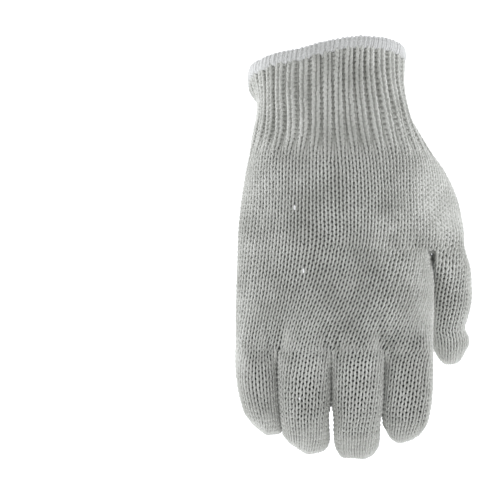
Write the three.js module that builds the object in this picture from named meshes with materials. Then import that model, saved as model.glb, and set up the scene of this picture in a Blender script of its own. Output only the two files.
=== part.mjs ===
// A seamless knitted work glove for the right hand, in the shape that it has when it is worn.
// It hangs with its fingers down. +Z points to the forearm, -Y is the back of the hand, +X the thumb's side.
// The origin is the middle of the wrist opening. All sizes are in millimetres.
//
// Every piece is a knitted tube: a hem around the wrist, a ribbed cuff, the hand above the thumb's crotch,
// the palm below it, four fingers and a thumb. Each is a hollow wall lofted through closed rings of points,
// and the ring that ends a tube follows the tubes that are knitted on to it.

import * as THREE from "three";

// Driving sizes

const WALL = 2.4; // a plain knit is two yarns thick
const GAP = 0.3; // left between two tubes where one is knitted on to the other

const HEM_HEIGHT = 6.7;
const HEM_THICKNESS = 4.6;
const HEM_OUTSET = 1.2; // how far the hem stands out from the cuff's face
const HEM_POWER = 3; // of its rounded section

const RIB_COUNT = 35;
const RIB_HEIGHT = 0.75; // half of the step from a rib's crest to its furrow
const RIB_FADE = [-34, -50]; // heights between which the ribs run out

const CUFF_TOP = -7.2;
const CUFF_BOTTOM = -48;
const THUMB_CROTCH = -105;
const FINGER_CROTCH = -160;

const HAND_POWER = 2.4; // of the hand's superelliptic section, where 2 is an ellipse
const FINGER_TOP_POWER = 3.0; // fingers are packed side by side at the crotch
const FINGER_POWER = 2.2; // and rounder below it
const TIP_LENGTH = 7; // of a finger's rounded end
const TIP_POWER = 2.7;
const FURROW_REACH = 22; // how far above a crotch the furrow between two fingers starts
const FINGER_FURROW = 0.66; // share of the hand's depth that is left in it
const THUMB_FURROW = 0.85;
const KNUCKLE_ARCH = 4.5; // how far the hand's two edges lie behind its middle
const THUMB_SWING = 14; // how far the thumb's side swings towards the palm
const SWING_RANGE = [18, 77]; // x, where that swing begins and where it is whole

const HOLLOW = { x: 4, reach: 26 }; // of the palm, which is cupped on the palm's side

const YARN_COLOUR = 0xc9cac4;
const HEM_COLOUR = 0xd9dad7;

// How far the rim rises: turn 0 is the thumb's side, 0.25 the palm's, 0.5 the little finger's, 0.75 the back
const RIM = table(
  ["turn", "lift"],
  [
    [0.0, 4.6],
    [0.25, -8.5],
    [0.4, -11.5],
    [0.5, -4.4],
    [0.59, -1.2],
    [0.63, 1.5],
    [0.69, 4.3],
    [0.73, 7.3],
    [0.79, 10.3],
    [0.85, 10.7],
    [0.91, 8.6],
    [0.96, 6.4],
    [1.0, 4.6],
  ],
);

// The hand's outline from the front and the side, at each height
const HAND = table(
  ["height", "left", "right", "halfDepth", "middle", "swing", "hollow"],
  [
    [-7.2, -42.6, 42.2, 25.6, 0.2, 0.0, 0.0],
    [-19, -39.2, 42.0, 24.0, -1.9, 0.0, 0.0],
    [-28, -39.4, 43.8, 22.8, -3.7, 0.1, 0.0],
    [-36, -40.5, 46.9, 22.0, -5.1, 0.2, 0.0],
    [-48, -43.0, 55.3, 21.3, -6.9, 0.35, 0.02],
    [-61, -45.6, 64.8, 20.6, -8.4, 0.55, 0.06],
    [-75, -48.0, 71.9, 19.8, -9.4, 0.8, 0.12],
    [-90, -49.8, 76.0, 18.8, -9.9, 0.95, 0.18],
    [-105, -50.6, 77.6, 17.8, -9.9, 1.0, 0.22],
  ],
);

// The palm below the thumb's crotch
const PALM = table(
  ["height", "left", "right", "halfDepth", "middle", "swing", "hollow"],
  [
    [-105, -50.6, 58.2, 17.8, -9.9, 1.0, 0.22],
    [-120, -51.2, 59.2, 17.2, -9.8, 0.6, 0.22],
    [-135, -51.7, 59.0, 16.3, -9.6, 0.25, 0.16],
    [-150, -51.9, 58.4, 14.9, -9.3, 0.0, 0.06],
    [-160, -51.9, 58.3, 13.8, -9.1, 0.0, 0.0],
  ],
);

// A finger's middle line and size, at each distance below its crotch. Its end is rounded over TIP_LENGTH.
// No hand fills the last stretch, so it lies flatter. The slant raises the end's +X side
const FINGER_COLUMNS = ["drop", "x", "y", "halfWidth", "halfDepth", "slant"];
const FINGERS = {
  little_finger: table(FINGER_COLUMNS, [
    [0, -40.1, -5.4, 11.8, 10.6, 0],
    [10, -39.9, -6.0, 11.8, 11.0, 0],
    [20, -39.2, -5.8, 11.4, 10.8, 0],
    [30, -37.8, -4.6, 10.7, 9.6, -0.6],
    [39, -35.7, -2.8, 9.6, 7.6, -1.8],
    [47.2, -33.4, -0.8, 8.6, 5.0, -3.0],
  ]),
  ring_finger: table(FINGER_COLUMNS, [
    [0, -13.3, -9.0, 14.5, 12.8, 0],
    [11, -13.1, -9.8, 14.3, 12.6, 0],
    [23, -12.9, -9.6, 14.0, 12.1, 0],
    [35, -12.4, -7.8, 13.4, 10.6, 0],
    [46, -11.8, -5.0, 12.9, 8.0, 0.3],
    [57.5, -11.2, -2.0, 12.4, 5.2, 0.5],
  ]),
  middle_finger: table(FINGER_COLUMNS, [
    [0, 15.85, -9.0, 14.35, 13.0, 0],
    [12, 15.7, -10.0, 14.2, 12.8, 0],
    [25, 15.7, -9.8, 14.0, 12.2, 0],
    [37, 15.8, -8.0, 13.6, 10.6, 0],
    [46, 15.9, -5.8, 13.3, 8.6, 0.3],
    [53, 16.0, -4.0, 13.0, 6.8, 0.7],
    [60.8, 16.3, -2.4, 12.5, 5.2, 1.1],
  ]),
  index_finger: table(FINGER_COLUMNS, [
    [0, 44.4, -6.2, 13.9, 11.2, 0],
    [11, 44.4, -6.8, 13.9, 11.8, 0],
    [22, 44.2, -6.6, 13.8, 11.6, 0],
    [33, 43.3, -5.2, 13.6, 10.4, 0.4],
    [42, 42.4, -3.2, 12.8, 8.2, 1.2],
    [52.4, 41.8, -1.0, 10.2, 5.2, 2.2],
  ]),
};

// The thumb's section is also sheared, so that its inner edge lies in front of its outer edge
const THUMB = table(
  [...FINGER_COLUMNS, "shear"],
  [
    [0, 68.2, 8.4, 9.3, 11.8, 0, 0.5],
    [11, 69.9, 13.2, 11.2, 12.0, 0, 0.4],
    [21, 70.1, 15.4, 12.0, 11.8, 0, 0.32],
    [30, 69.9, 16.8, 12.2, 11.4, 0, 0.28],
    [39, 69.0, 17.8, 11.4, 10.6, 0, 0.25],
    [47, 68.6, 18.7, 11.2, 9.4, 0, 0.22],
    [54, 69.2, 19.6, 11.2, 7.4, 0, 0.2],
    [64.5, 69.0, 20.8, 8.8, 5.0, 0, 0.2],
  ],
);

// How finely each tube is cut
const HEM_STEPS = { around: 60, across: 8 };
const CUFF_STEPS = { around: RIB_COUNT * 4, along: 5 };
const HAND_STEPS = { around: 64, along: 7 };
const PALM_STEPS = { around: 64, along: 6 };
const FINGER_STEPS = { around: 20, along: 9 };
const THUMB_STEPS = { around: 20, along: 11 };
const CURVE_STEPS = 240; // of a ring's curve, before it is cut into even steps

// Tables: the first column says where a row lies, and the others are read along a smooth curve through them

function table(columns, rows) {
  return rows.map((row) => Object.fromEntries(columns.map((name, i) => [name, row[i]])));
}

function read(rows, place) {
  const [key, ...others] = Object.keys(rows[0]);
  const forward = Math.sign(rows.at(-1)[key] - rows[0][key]);
  const next = rows.findIndex((row) => forward * (row[key] - place) > 0);
  const i = next < 0 ? rows.length - 2 : Math.max(next - 1, 0);
  const span = rows[i + 1][key] - rows[i][key];
  const t = THREE.MathUtils.clamp((place - rows[i][key]) / span, 0, 1);
  const slope = (name, j) => {
    const before = rows[Math.max(j - 1, 0)];
    const after = rows[Math.min(j + 1, rows.length - 1)];
    return (span * (after[name] - before[name])) / (after[key] - before[key]);
  };
  const values = others.map((name) => {
    const step = rows[i + 1][name] - rows[i][name];
    const rise = step * t * t * (3 - 2 * t);
    const bend = slope(name, i) * t * (1 - t) * (1 - t) - slope(name, i + 1) * t * t * (1 - t);
    return [name, rows[i][name] + rise + bend];
  });
  return Object.fromEntries(values);
}

// The place of step i of n, between two ends
const between = (from, to, i, n) => from + ((to - from) * i) / n;

const smooth = THREE.MathUtils.smoothstep;

// Rings

// Points around a superellipse, each coordinate from -1 to 1
function superellipse(power, count) {
  return Array.from({ length: count }, (_, i) => {
    const [cos, sin] = [Math.cos((2 * Math.PI * i) / count), Math.sin((2 * Math.PI * i) / count)];
    const size = (Math.abs(cos) ** power + Math.abs(sin) ** power) ** (-1 / power);
    return { across: cos * size, back: sin * size };
  });
}

// The same closed curve, cut into even steps
function evenly(curve, count) {
  const lengths = [0];
  curve.forEach((p, i) => lengths.push(lengths[i] + p.distanceTo(curve[(i + 1) % curve.length])));
  let i = 0;
  return Array.from({ length: count }, (_, k) => {
    const place = between(0, lengths.at(-1), k, count);
    while (lengths[i + 1] < place) i++;
    const t = (place - lengths[i]) / (lengths[i + 1] - lengths[i]);
    return curve[i].clone().lerp(curve[(i + 1) % curve.length], t);
  });
}

// A ring moved outwards in its own plane, by a distance for each point
function outset(ring, distance) {
  const normal = new THREE.Vector3();
  ring.forEach((p, i) => normal.add(p.clone().cross(ring[(i + 1) % ring.length])));
  normal.normalize();
  return ring.map((p, i) => {
    const along = ring[(i + 1) % ring.length].clone().sub(ring.at(i - 1));
    return p.clone().addScaledVector(along.cross(normal).normalize(), distance(i));
  });
}

// How far a ring reaches to the front and to the back at x, or nothing beside it
function reach(ring, x) {
  const sides = ring.flatMap((p, i) => {
    const q = ring[(i + 1) % ring.length];
    return (p.x - x) * (q.x - x) < 0 ? [p.y + ((q.y - p.y) * (x - p.x)) / (q.x - p.x)] : [];
  });
  return sides.length > 1 ? { front: Math.min(...sides), back: Math.max(...sides) } : null;
}

// A hand's ring drawn towards the rings of the tubes below it, with a furrow left between two of them
function towards(curve, middle, below, share) {
  return curve.map((p, i) => {
    const side = p.y > middle[i] ? "back" : "front";
    const floor = middle[i] + below.furrow * (p.y - middle[i]);
    const found = below.rings.map((ring) => reach(ring, p.x)).find((sides) => sides);
    const edge = found ? found[side] : floor;
    const target = side === "back" ? Math.max(edge, floor) : Math.min(edge, floor);
    return new THREE.Vector3(p.x, THREE.MathUtils.lerp(p.y, target, share), p.z);
  });
}

// One ring of the cuff, hand or palm
function handRing(rows, height, around, below) {
  const size = read(rows, height);
  const middleX = (size.left + size.right) / 2;
  const halfWidth = (size.right - size.left) / 2;
  const rimShare = 1 - smooth(CUFF_TOP - height, 0, CUFF_TOP - CUFF_BOTTOM);
  const archShare = smooth(-height, 0, -THUMB_CROTCH);
  const shape = superellipse(HAND_POWER, CURVE_STEPS);
  const middle = shape.map(({ across }) => {
    const swing = THUMB_SWING * size.swing * smooth(middleX + halfWidth * across, ...SWING_RANGE);
    return size.middle + KNUCKLE_ARCH * archShare * across ** 2 + swing;
  });
  const curve = shape.map(({ across, back }, i) => {
    const x = middleX + halfWidth * across;
    const cup = back > 0 ? size.hollow * Math.exp(-(((x - HOLLOW.x) / HOLLOW.reach) ** 2)) : 0;
    const lift = rimShare * read(RIM, i / CURVE_STEPS).lift;
    return new THREE.Vector3(x, middle[i] + size.halfDepth * back * (1 - cup), height + lift);
  });
  const share = smooth(FURROW_REACH - (height - rows.at(-1).height), 0, FURROW_REACH);
  const ring = evenly(below ? towards(curve, middle, below, share) : curve, around);
  const ribShare = smooth(height, RIB_FADE[1], RIB_FADE[0]);
  const ribs = around === CUFF_STEPS.around ? RIB_HEIGHT * ribShare : 0;
  return outset(ring, (i) => ribs * Math.cos((2 * Math.PI * RIB_COUNT * i) / around));
}

// One ring of a finger's face, or of its inside where it is inset. It stands square to the middle line
function fingerRing(rows, top, drop, around, inset) {
  const size = read(rows, drop);
  const lean = drop > 0 ? Math.atan2(read(rows, drop + 0.5).y - read(rows, drop - 0.5).y, 1) : 0;
  const length = rows.at(-1).drop - inset;
  const nearTip = THREE.MathUtils.clamp(1 - (length - drop) / TIP_LENGTH, 0, 1);
  const rounding = (1 - nearTip ** TIP_POWER) ** (1 / TIP_POWER);
  const power = THREE.MathUtils.lerp(FINGER_TOP_POWER, FINGER_POWER, smooth(drop, 0, 16));
  const curve = superellipse(power, CURVE_STEPS).map(({ across, back }) => {
    const width = (size.halfWidth - inset) * rounding * across;
    const depth = (size.halfDepth - inset) * rounding * back + width * (size.shear ?? 0);
    return new THREE.Vector3(
      size.x + width,
      size.y + depth * Math.cos(lean),
      top - drop + depth * Math.sin(lean) + size.slant * across,
    );
  });
  return evenly(curve, around);
}

// Walls

// A wall from its outer rings and its inner rings, both from the top down. A closed wall ends in a tip
function wall(outer, inner, closed) {
  const around = outer[0].length;
  const points = [];
  const faces = [];
  const put = (ring) => {
    points.push(...ring);
    return points.length - around;
  };
  const band = (upper, lower) => {
    for (let i = 0; i < around; i++) {
      const j = (i + 1) % around;
      faces.push(upper + i, lower + i, lower + j, upper + i, lower + j, upper + j);
    }
  };
  const cap = (ring, start, facesDown) => {
    points.push(ring.reduce((sum, p) => sum.add(p), new THREE.Vector3()).divideScalar(around));
    for (let i = 0; i < around; i++) {
      const pair = [start + i, start + ((i + 1) % around)];
      faces.push(points.length - 1, ...(facesDown ? pair.reverse() : pair));
    }
  };
  const outside = outer.map(put);
  const inside = inner.map(put);
  for (let k = 1; k < outside.length; k++) band(outside[k - 1], outside[k]);
  for (let k = 1; k < inside.length; k++) band(inside[k], inside[k - 1]);
  band(inside[0], outside[0]);
  if (closed) {
    cap(outer.at(-1), outside.at(-1), true);
    cap(inner.at(-1), inside.at(-1), false);
  } else {
    band(outside.at(-1), inside.at(-1));
  }
  return solid(points, faces);
}

function solid(points, faces) {
  const geometry = new THREE.BufferGeometry().setFromPoints(points);
  geometry.setIndex(faces);
  geometry.computeVertexNormals();
  return geometry;
}

function knitted(name, geometry, colour) {
  const material = new THREE.MeshStandardMaterial({ color: colour, roughness: 0.95, metalness: 0 });
  const mesh = new THREE.Mesh(geometry, material);
  mesh.name = name;
  return mesh;
}

// Pieces

// A tube of the hand, open at both ends. The rings below are those of the tubes that are knitted on to it
function handTube(name, rows, top, bottom, steps, below) {
  const outer = Array.from({ length: steps.along + 1 }, (_, k) =>
    handRing(rows, between(top, bottom, k, steps.along), steps.around, below),
  );
  const inner = outer.map((ring) => outset(ring, () => -WALL));
  return knitted(name, wall(outer, inner, false), YARN_COLOUR);
}

// A finger or the thumb: open at the crotch, and closed at the tip, where its rings lie closer together
function finger(name, rows, top, steps) {
  const rings = (inset, count) => {
    const end = rows.at(-1).drop - inset - TIP_LENGTH * 0.02;
    const straight = Math.round(count * 0.6);
    return Array.from({ length: count + 1 }, (_, k) => {
      const intoTip = Math.sin((Math.PI / 2) * Math.max((k - straight) / (count - straight), 0));
      const down = between(0, end - TIP_LENGTH, Math.min(k, straight), straight);
      return fingerRing(rows, top, down + TIP_LENGTH * intoTip, steps.around, inset);
    });
  };
  return knitted(name, wall(rings(0, steps.along), rings(WALL, steps.along - 2), true), YARN_COLOUR);
}

// The overlocked hem: a band with rounded edges that runs round the rim
function hem() {
  const middleHeight = HEM_HEIGHT / 2 + 1.5 * GAP;
  const rim = handRing(HAND, CUFF_TOP, HEM_STEPS.around);
  const middleLine = outset(rim, () => HEM_OUTSET - HEM_THICKNESS / 2);
  const outside = outset(rim, () => 1);
  const points = [];
  const faces = [];
  middleLine.forEach((p, i) => {
    const outward = outside[i].clone().sub(rim[i]);
    superellipse(HEM_POWER, HEM_STEPS.across).forEach(({ across, back }, k) => {
      const place = p.clone().addScaledVector(outward, (HEM_THICKNESS / 2) * across);
      place.z += middleHeight + (HEM_HEIGHT / 2) * back;
      points.push(place);
      const here = i * HEM_STEPS.across;
      const next = ((i + 1) % HEM_STEPS.around) * HEM_STEPS.across;
      const above = (k + 1) % HEM_STEPS.across;
      faces.push(here + k, next + k, next + above, here + k, next + above, here + above);
    });
  });
  return knitted("overlock_hem", solid(points, faces), HEM_COLOUR);
}

// The glove

const fingerTops = Object.values(FINGERS).map((rows) => fingerRing(rows, FINGER_CROTCH, 0, CURVE_STEPS, 0));
const palmTop = handRing(PALM, THUMB_CROTCH, CURVE_STEPS);
const thumbTop = fingerRing(THUMB, THUMB_CROTCH, 0, CURVE_STEPS, 0);
const belowHand = { rings: [palmTop, thumbTop], furrow: THUMB_FURROW };
const belowPalm = { rings: fingerTops, furrow: FINGER_FURROW };

const glove = new THREE.Group();
glove.add(hem());
glove.add(handTube("ribbed_cuff", HAND, CUFF_TOP, CUFF_BOTTOM, CUFF_STEPS));
glove.add(handTube("hand_body", HAND, CUFF_BOTTOM - GAP, THUMB_CROTCH, HAND_STEPS, belowHand));
glove.add(handTube("lower_palm", PALM, THUMB_CROTCH - GAP, FINGER_CROTCH, PALM_STEPS, belowPalm));
for (const [name, rows] of Object.entries(FINGERS)) {
  glove.add(finger(name, rows, FINGER_CROTCH - GAP, FINGER_STEPS));
}
glove.add(finger("thumb", THUMB, THUMB_CROTCH - GAP, THUMB_STEPS));

export default glove;
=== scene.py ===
"""A seamless knitted work glove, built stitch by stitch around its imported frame.

Sizes are in millimetres until a mesh is made. +Z points to the forearm, -Y is the back of the hand and
+X the thumb's side. Every tube is knitted in the round: courses are the rows of stitches around it, and
wales are the columns of stitches along it.
"""

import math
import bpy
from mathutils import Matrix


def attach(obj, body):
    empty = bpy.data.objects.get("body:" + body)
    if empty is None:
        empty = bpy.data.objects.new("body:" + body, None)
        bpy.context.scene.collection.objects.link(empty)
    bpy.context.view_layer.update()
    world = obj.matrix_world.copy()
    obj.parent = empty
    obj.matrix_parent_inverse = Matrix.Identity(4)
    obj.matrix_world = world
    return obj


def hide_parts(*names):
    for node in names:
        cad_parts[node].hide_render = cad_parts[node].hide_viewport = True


bl_info = {
    "name": "Knitted work glove",
    "version": (1, 0, 0),
    "blender": (4, 5, 0),
    "location": "3D Viewport > Sidebar > Glove",
    "description": "Knits a string-knit work glove around its frame, with its studio",
    "category": "Object",
}

import bpy
import numpy as np
from bpy.props import FloatProperty, PointerProperty, StringProperty
from mathutils import Vector

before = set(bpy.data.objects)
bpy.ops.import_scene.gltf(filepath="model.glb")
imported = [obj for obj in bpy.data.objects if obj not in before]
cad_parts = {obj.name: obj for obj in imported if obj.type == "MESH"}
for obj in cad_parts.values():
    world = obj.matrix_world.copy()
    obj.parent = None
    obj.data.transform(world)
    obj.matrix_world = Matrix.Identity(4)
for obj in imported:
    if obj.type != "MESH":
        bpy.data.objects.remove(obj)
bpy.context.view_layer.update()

MM = 0.001

# Shape, in millimetres. The frame has the same rim, cuff and hand. The fingers' ends, their section at the
# crotch, the hem's height and how far soft sides press are the scene's own.

CUFF_TOP = -7.2
CUFF_BOTTOM = -48
THUMB_CROTCH = -105
FINGER_CROTCH = -160
HAND_POWER = 2.4  # of a ring's section, where 2 is an ellipse
FINGER_TOP_POWER = 2.5
THUMB_TOP_POWER = 3.0
FINGER_POWER = 2.2
TIP_LENGTH = 8  # along which a finger's depth rounds off to nothing
TIP_POWER = 2.2
TIP_GAP = 0.5  # above the tip, where the last full ring lies
TIP_SLOPE = 14  # length along which a finger's end takes its outline
FURROW_REACH = 22  # above a crotch, the length along which the hand dips between the tubes below it
FINGER_FURROW = 0.66  # share of its half depth that it keeps there
THUMB_FURROW = 0.85
KNUCKLE_ARCH = 4.5  # how far the hand's sides fall back from its middle
THUMB_SWING = 14  # how far the thumb's side swings towards the palm
SWING_RANGE = (18, 77)  # x between which it does
HOLLOW_X, HOLLOW_REACH = 4, 26  # of the palm's hollow
HEM_HEIGHT = 7.4
HEM_THICKNESS = 4.6
HEM_OUTSET = 1.2  # of its outer face from the cuff's
PRESS = 1.0  # how far the soft side of a finger that touches another is pushed out
THUMB_PRESS = 1.1
PRESS_REACH = 0.3  # share of the half width where that begins
PRESS_FADE = (-3, 4)  # lengths about the end of a touch between which it stops
ROUNDING = 16  # below a crotch, the length along which a finger takes its round section and its lean
TIP_NARROWING = 0.12  # share of its width that a finger's end loses
BLEND = 12  # below a crotch, the length along which a finger's face leaves the hand's
FINGER_EDGE, THUMB_EDGE = 0.93, 0.82  # shares of the half width beyond which it leaves at once
CURVE_STEPS = 240  # of a ring before it is cut into even steps
LEVEL = 1.5  # between the rings of a face
PAST = 3  # how far a face runs on past the ends of its tube
CUFF_FACE_TOP = CUFF_TOP + 4

# Stitches

GRID = 4  # steps of a face's grid that a wale takes
HAND_WALES = 70  # around the cuff and the hand, two to a rib
PALM_WALES = 62
CUFF_COURSES, HAND_COURSES, PALM_COURSES = 19, 21, 20
CUFF_START = CUFF_TOP + 2.3  # the first course lies inside the hem
PALM_SIDE_WALE = 4.3  # width of a wale on the palm's side where the hand and the lower palm meet
PALM_SIDE_START = -60  # below this the wales of the palm's side come to that width
WIDENING, WIDENING_DEPTHS = 0.08, (125, 160)  # share by which it still grows, and between which depths
STEPS = 12  # of the string along a stitch
SIDES = 5  # of the string
BEND_STEPS = 0.22  # how far these steps move to a loop's head and feet, where it bends most
TWIST = 0.013  # how far a finger's wales go to the left along it, in wales a millimetre
WAIST = 0.215  # how far a loop's neck draws in and its head swells, in wales
WAIST_FILLING = -1.4  # power by which that shrinks as the string fills a finger's stitches
RISE = 0.79  # half of a loop's height, in courses
RIB_FADE = (-57, -37)  # heights between which the ribs run out
RIB_CREST = 0.8  # how far a crest stands out
RIB_FURROW = 1.9  # how far a furrow sinks in
RIB_POWER = 0.7  # of a rib's wave, where 1 is a cosine
RIB_SQUEEZE = 0.7  # how far the wales of a crest draw together
RIB_FULLNESS = 0.42  # how much thicker the string is drawn on the way to the ribs
RIB_FULL = (-85, -36)  # heights between which that sets in
CREST_FULLNESS = 0.22  # how much thicker still on the crests and in the furrows
FURROW_FULLNESS = 0.5
FIBRE_SHADE_FADE = (-185, -40)  # heights between which the painted shade of the fibres between the stitches pales towards the cuff
FIBRE_DEPTH, FIBRE_RISE = 2, 1.8  # how deep they lie, and how far the ribs lift them, in loop depths
FIBRES_PAST = 2.5  # how far they run on into the next tube
TIP_FULLNESS = 0.24  # how much thicker the string is drawn at a finger's end, and where the knit is slack
SIDE_FULLNESS = 0.32
PALM_STRETCH = 0.09  # how much thinner the string is drawn in the lower palm and the thumb
STRETCHED = (-100, -116, -152, -166)  # heights between which that begins and ends
SLACK_FLATTENING = 0.45  # share of its depth that a slack loop loses
WEB_X, WEB_Z, WEB_LEAN = 61, -82, -0.33  # middle of the web beside the thumb, and how far it leans
WEB_WIDTH, WEB_HEIGHT = 12, 26
WEB_SLACK, WEB_MOST = 2.6, 2.2  # how slack it is, in the sides' slackness, and where that is cut off
FAN = 3  # how far the wales spread from the thumb's crotch
FAN_HEIGHTS = (-92, -106, -120)
FAN_WALE, FAN_WALES = 29, 3  # the wale that goes furthest, and how many go with it to either side
HAND_SLACK = (0.15, 0.65)  # how far the knit faces sideways where it begins to be slack, and where it is
FINGER_SLACK = (0.6, 0.95)
LITTLE_SLACK = (0.1, 0.65)
PRESSED_SLACK = (0.9, 1.5)  # a side that touches another finger hardly is
FLOW_LENGTH = 8  # below its crotch, the length along which a finger's wales flow to the left
CROWD_MOST, CROWD_LENGTH = 0.35, 18  # how far its side wales crowd at its crotch, and how soon they spread
PALM_SAMPLE = 6  # to each side of a finger's middle, where the palm's wales are measured
TUCKS = ((0.5, 0.3), (1.0, 0.35))  # share of the way to its fold and the fall of each ring that closes a tip
TUCK_ENDS = (1.0, 2.6)  # lengths past the tip that these rings stand for
TIP_PAST = 1.2  # how far the last course goes past the tip
SLOW_TURNS = 8  # wales to a turn of the quickest slow wave around a tube
ROW_TURNS = 12  # the same for the waves that move its rows
SLOW_WAVES, WAVE_SLOPE, WAVE_START = 12, 0.12, 6.3
WAVES_SUM = 2.4  # about the root mean square of so many waves
SLOW_ASIDE, SLOW_ALONG, SLOW_OUT = 0.09, 0.3, 0.25  # how far stitches drift, in wales and millimetres
STRAY_ASIDE, STRAY_OUT = 0.25, 0.6  # shares of a stitch's stray, aside in wales
UNEVEN, FUZZ = 0.05, 0.05  # shares by which the string's thickness wanders, and by which its corners do
HAND_SEED = 7  # of the slow waves that the cuff, the hand and the lower palm share
DIGIT_SEED = 10  # of the first finger
SLUB_STEPS, SLUB_HALF_WIDTH, SLUB_RADIUS = 12, 0.25, 0.33

TONES = (0.72, 1.28)  # between which the sum of the string's two noises takes it from dark to light

# Hem

HEM_WRAPS = 178
HEM_STEPS = 14  # of the thread around the edge
HEM_SIDES = 6
HEM_RADIUS = 1.02  # of the thread
HEM_POWER = 2.6  # of its section, where 2 is an ellipse
HEM_RISE = 0.3  # how far it is lifted off the cuff
HEM_SLANT = 0.55  # how far a wrap leans along the edge
HEM_UP, HEM_OUT = 0.3, 0.12  # how far the wraps stand up and out, and down and in, by turns
# How far a wrap strays each way, and the shares by which its thickness does as a whole and step by step
HEM_STRAYS = {"top": 0.14, "bottom": 0.25, "out": 0.06, "along": 0.1, "wrap": 0.07, "step": 0.05}
HEM_CORE = 0.93  # size of the closed core under the wraps
HEM_FLARE = 3.0  # how far the rim rolls out at its far left
FLARE_TURN, FLARE_WIDTH = 0.43, 0.05  # where that is around the rim, and how wide, in turns
FLARE_HEIGHTS = (CUFF_TOP - 12, CUFF_TOP + 2)  # between which the cuff follows it

# Studio: the paper in millimetres, the camera in metres but for its sensor

PAPER = {"front": -1800, "bend": 1400, "radius": 300, "level": -320, "top": 1600, "half_width": 2200}
BEND_POINTS = 13
LIGHT_COLOUR = (0.95, 0.96, 1.0)
SENSOR = 36
VIEW_WIDTH = 0.2778  # of the picture, at the glove
CAMERA_X, CAMERA_Z = -0.0433, -0.1056


def table(columns, *rows):
    """Columns by their names."""
    return dict(zip(columns.split(), np.array(rows, float).T))


# How far the rim rises, by the turn from the right edge over the palm's side
RIM = table(
    "turn lift",
    (0.0, 4.6),
    (0.25, -8.5),
    (0.4, -11.5),
    (0.5, -4.4),
    (0.59, -1.2),
    (0.63, 1.5),
    (0.69, 4.3),
    (0.73, 7.3),
    (0.79, 10.3),
    (0.85, 10.7),
    (0.91, 8.6),
    (0.96, 6.4),
    (1.0, 4.6),
)
# Rings of the hand: its edges' x, its middle's y, and its shares of the thumb's swing and the palm's hollow
HAND = table(
    "height left right halfDepth middle swing hollow",
    (-7.2, -42.6, 42.2, 25.6, 0.2, 0.0, 0.0),
    (-19, -39.2, 42.0, 24.0, -1.9, 0.0, 0.0),
    (-28, -39.4, 43.8, 22.8, -3.7, 0.1, 0.0),
    (-36, -40.5, 46.9, 22.0, -5.1, 0.2, 0.0),
    (-48, -43.0, 55.3, 21.3, -6.9, 0.35, 0.02),
    (-61, -45.6, 64.8, 20.6, -8.4, 0.55, 0.06),
    (-75, -48.0, 71.9, 19.8, -9.4, 0.8, 0.12),
    (-90, -49.8, 76.0, 18.8, -9.9, 0.95, 0.18),
    (-105, -50.6, 77.6, 17.8, -9.9, 1.0, 0.22),
)
PALM = table(
    "height left right halfDepth middle swing hollow",
    (-105, -50.6, 58.2, 17.8, -9.9, 1.0, 0.22),
    (-120, -51.2, 59.2, 17.2, -9.8, 0.6, 0.22),
    (-135, -51.7, 59.0, 16.3, -9.6, 0.25, 0.16),
    (-150, -51.9, 58.4, 14.9, -9.3, 0.0, 0.06),
    (-160, -51.9, 58.3, 13.8, -9.1, 0.0, 0.0),
)
# Rings of the fingers by how far they lie below the crotch. Shear turns the thumb's section towards the palm.
DIGITS = {
    "little_finger": table(
        "drop left right y halfDepth",
        (0, -51.9, -28.3, -5.4, 10.6),
        (10, -51.7, -28.1, -6.0, 11.0),
        (20, -50.7, -27.8, -5.8, 10.8),
        (30, -48.7, -27.1, -4.6, 9.6),
        (39, -46.0, -25.9, -2.8, 7.6),
        (48.8, -44.2, -24.8, -0.8, 5.0),
    ),
    "ring_finger": table(
        "drop left right y halfDepth",
        (0, -27.8, 1.2, -9.0, 12.8),
        (11, -27.4, 1.2, -9.8, 12.6),
        (23, -27.1, 1.1, -9.6, 12.1),
        (35, -26.2, 1.0, -7.8, 10.6),
        (46, -24.9, 1.1, -5.0, 8.0),
        (58.7, -23.9, 1.4, -2.0, 5.2),
    ),
    "middle_finger": table(
        "drop left right y halfDepth",
        (0, 1.5, 30.2, -9.0, 13.0),
        (12, 1.5, 29.9, -10.0, 12.8),
        (25, 1.7, 29.7, -9.8, 12.2),
        (37, 2.2, 29.4, -8.0, 10.6),
        (46, 2.6, 29.2, -5.8, 8.6),
        (53, 3.2, 29.0, -4.0, 6.8),
        (61.8, 4.3, 28.6, -2.4, 5.2),
    ),
    "index_finger": table(
        "drop left right y halfDepth",
        (0, 30.5, 58.3, -6.2, 11.2),
        (11, 30.5, 58.3, -6.8, 11.8),
        (22, 30.4, 58.0, -6.6, 11.6),
        (33, 29.7, 56.9, -5.2, 10.4),
        (42, 29.6, 55.2, -3.2, 8.2),
        (52.8, 31.0, 53.8, -1.0, 5.2),
    ),
    "thumb": table(
        "drop left right y halfDepth shear",
        (0, 58.9, 77.6, 8.4, 11.8, 0.5),
        (11, 58.7, 81.1, 13.2, 12.0, 0.4),
        (21, 58.1, 82.1, 15.4, 11.8, 0.32),
        (30, 57.7, 82.2, 16.8, 11.4, 0.28),
        (39, 57.6, 80.2, 17.8, 10.6, 0.25),
        (45, 57.7, 78.6, 18.4, 9.8, 0.22),
        (50, 58.0, 80.9, 19.0, 8.6, 0.2),
        (55, 58.5, 81.0, 19.6, 7.4, 0.2),
        (65.4, 60.8, 79.2, 20.8, 5.0, 0.2),
    ),
}
# How far each finger's end rises above its lowest point, from its left edge to its right
TIPS = table(
    "across little_finger ring_finger middle_finger index_finger thumb",
    (-1.0, 7.0, 8.0, 3.6, 6.5, 6.0),
    (-0.8, 5.2, 5.6, 1.2, 2.8, 3.0),
    (-0.4, 2.4, 2.4, 0.8, 0.2, 0.2),
    (0.0, 0.0, 0.0, 0.5, 0.6, 0.0),
    (0.4, 0.0, 0.7, 0.2, 2.3, 0.7),
    (0.8, 0.4, 2.0, 2.2, 4.4, 3.2),
    (1.0, 2.0, 4.2, 4.6, 7.0, 6.8),
)
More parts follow.
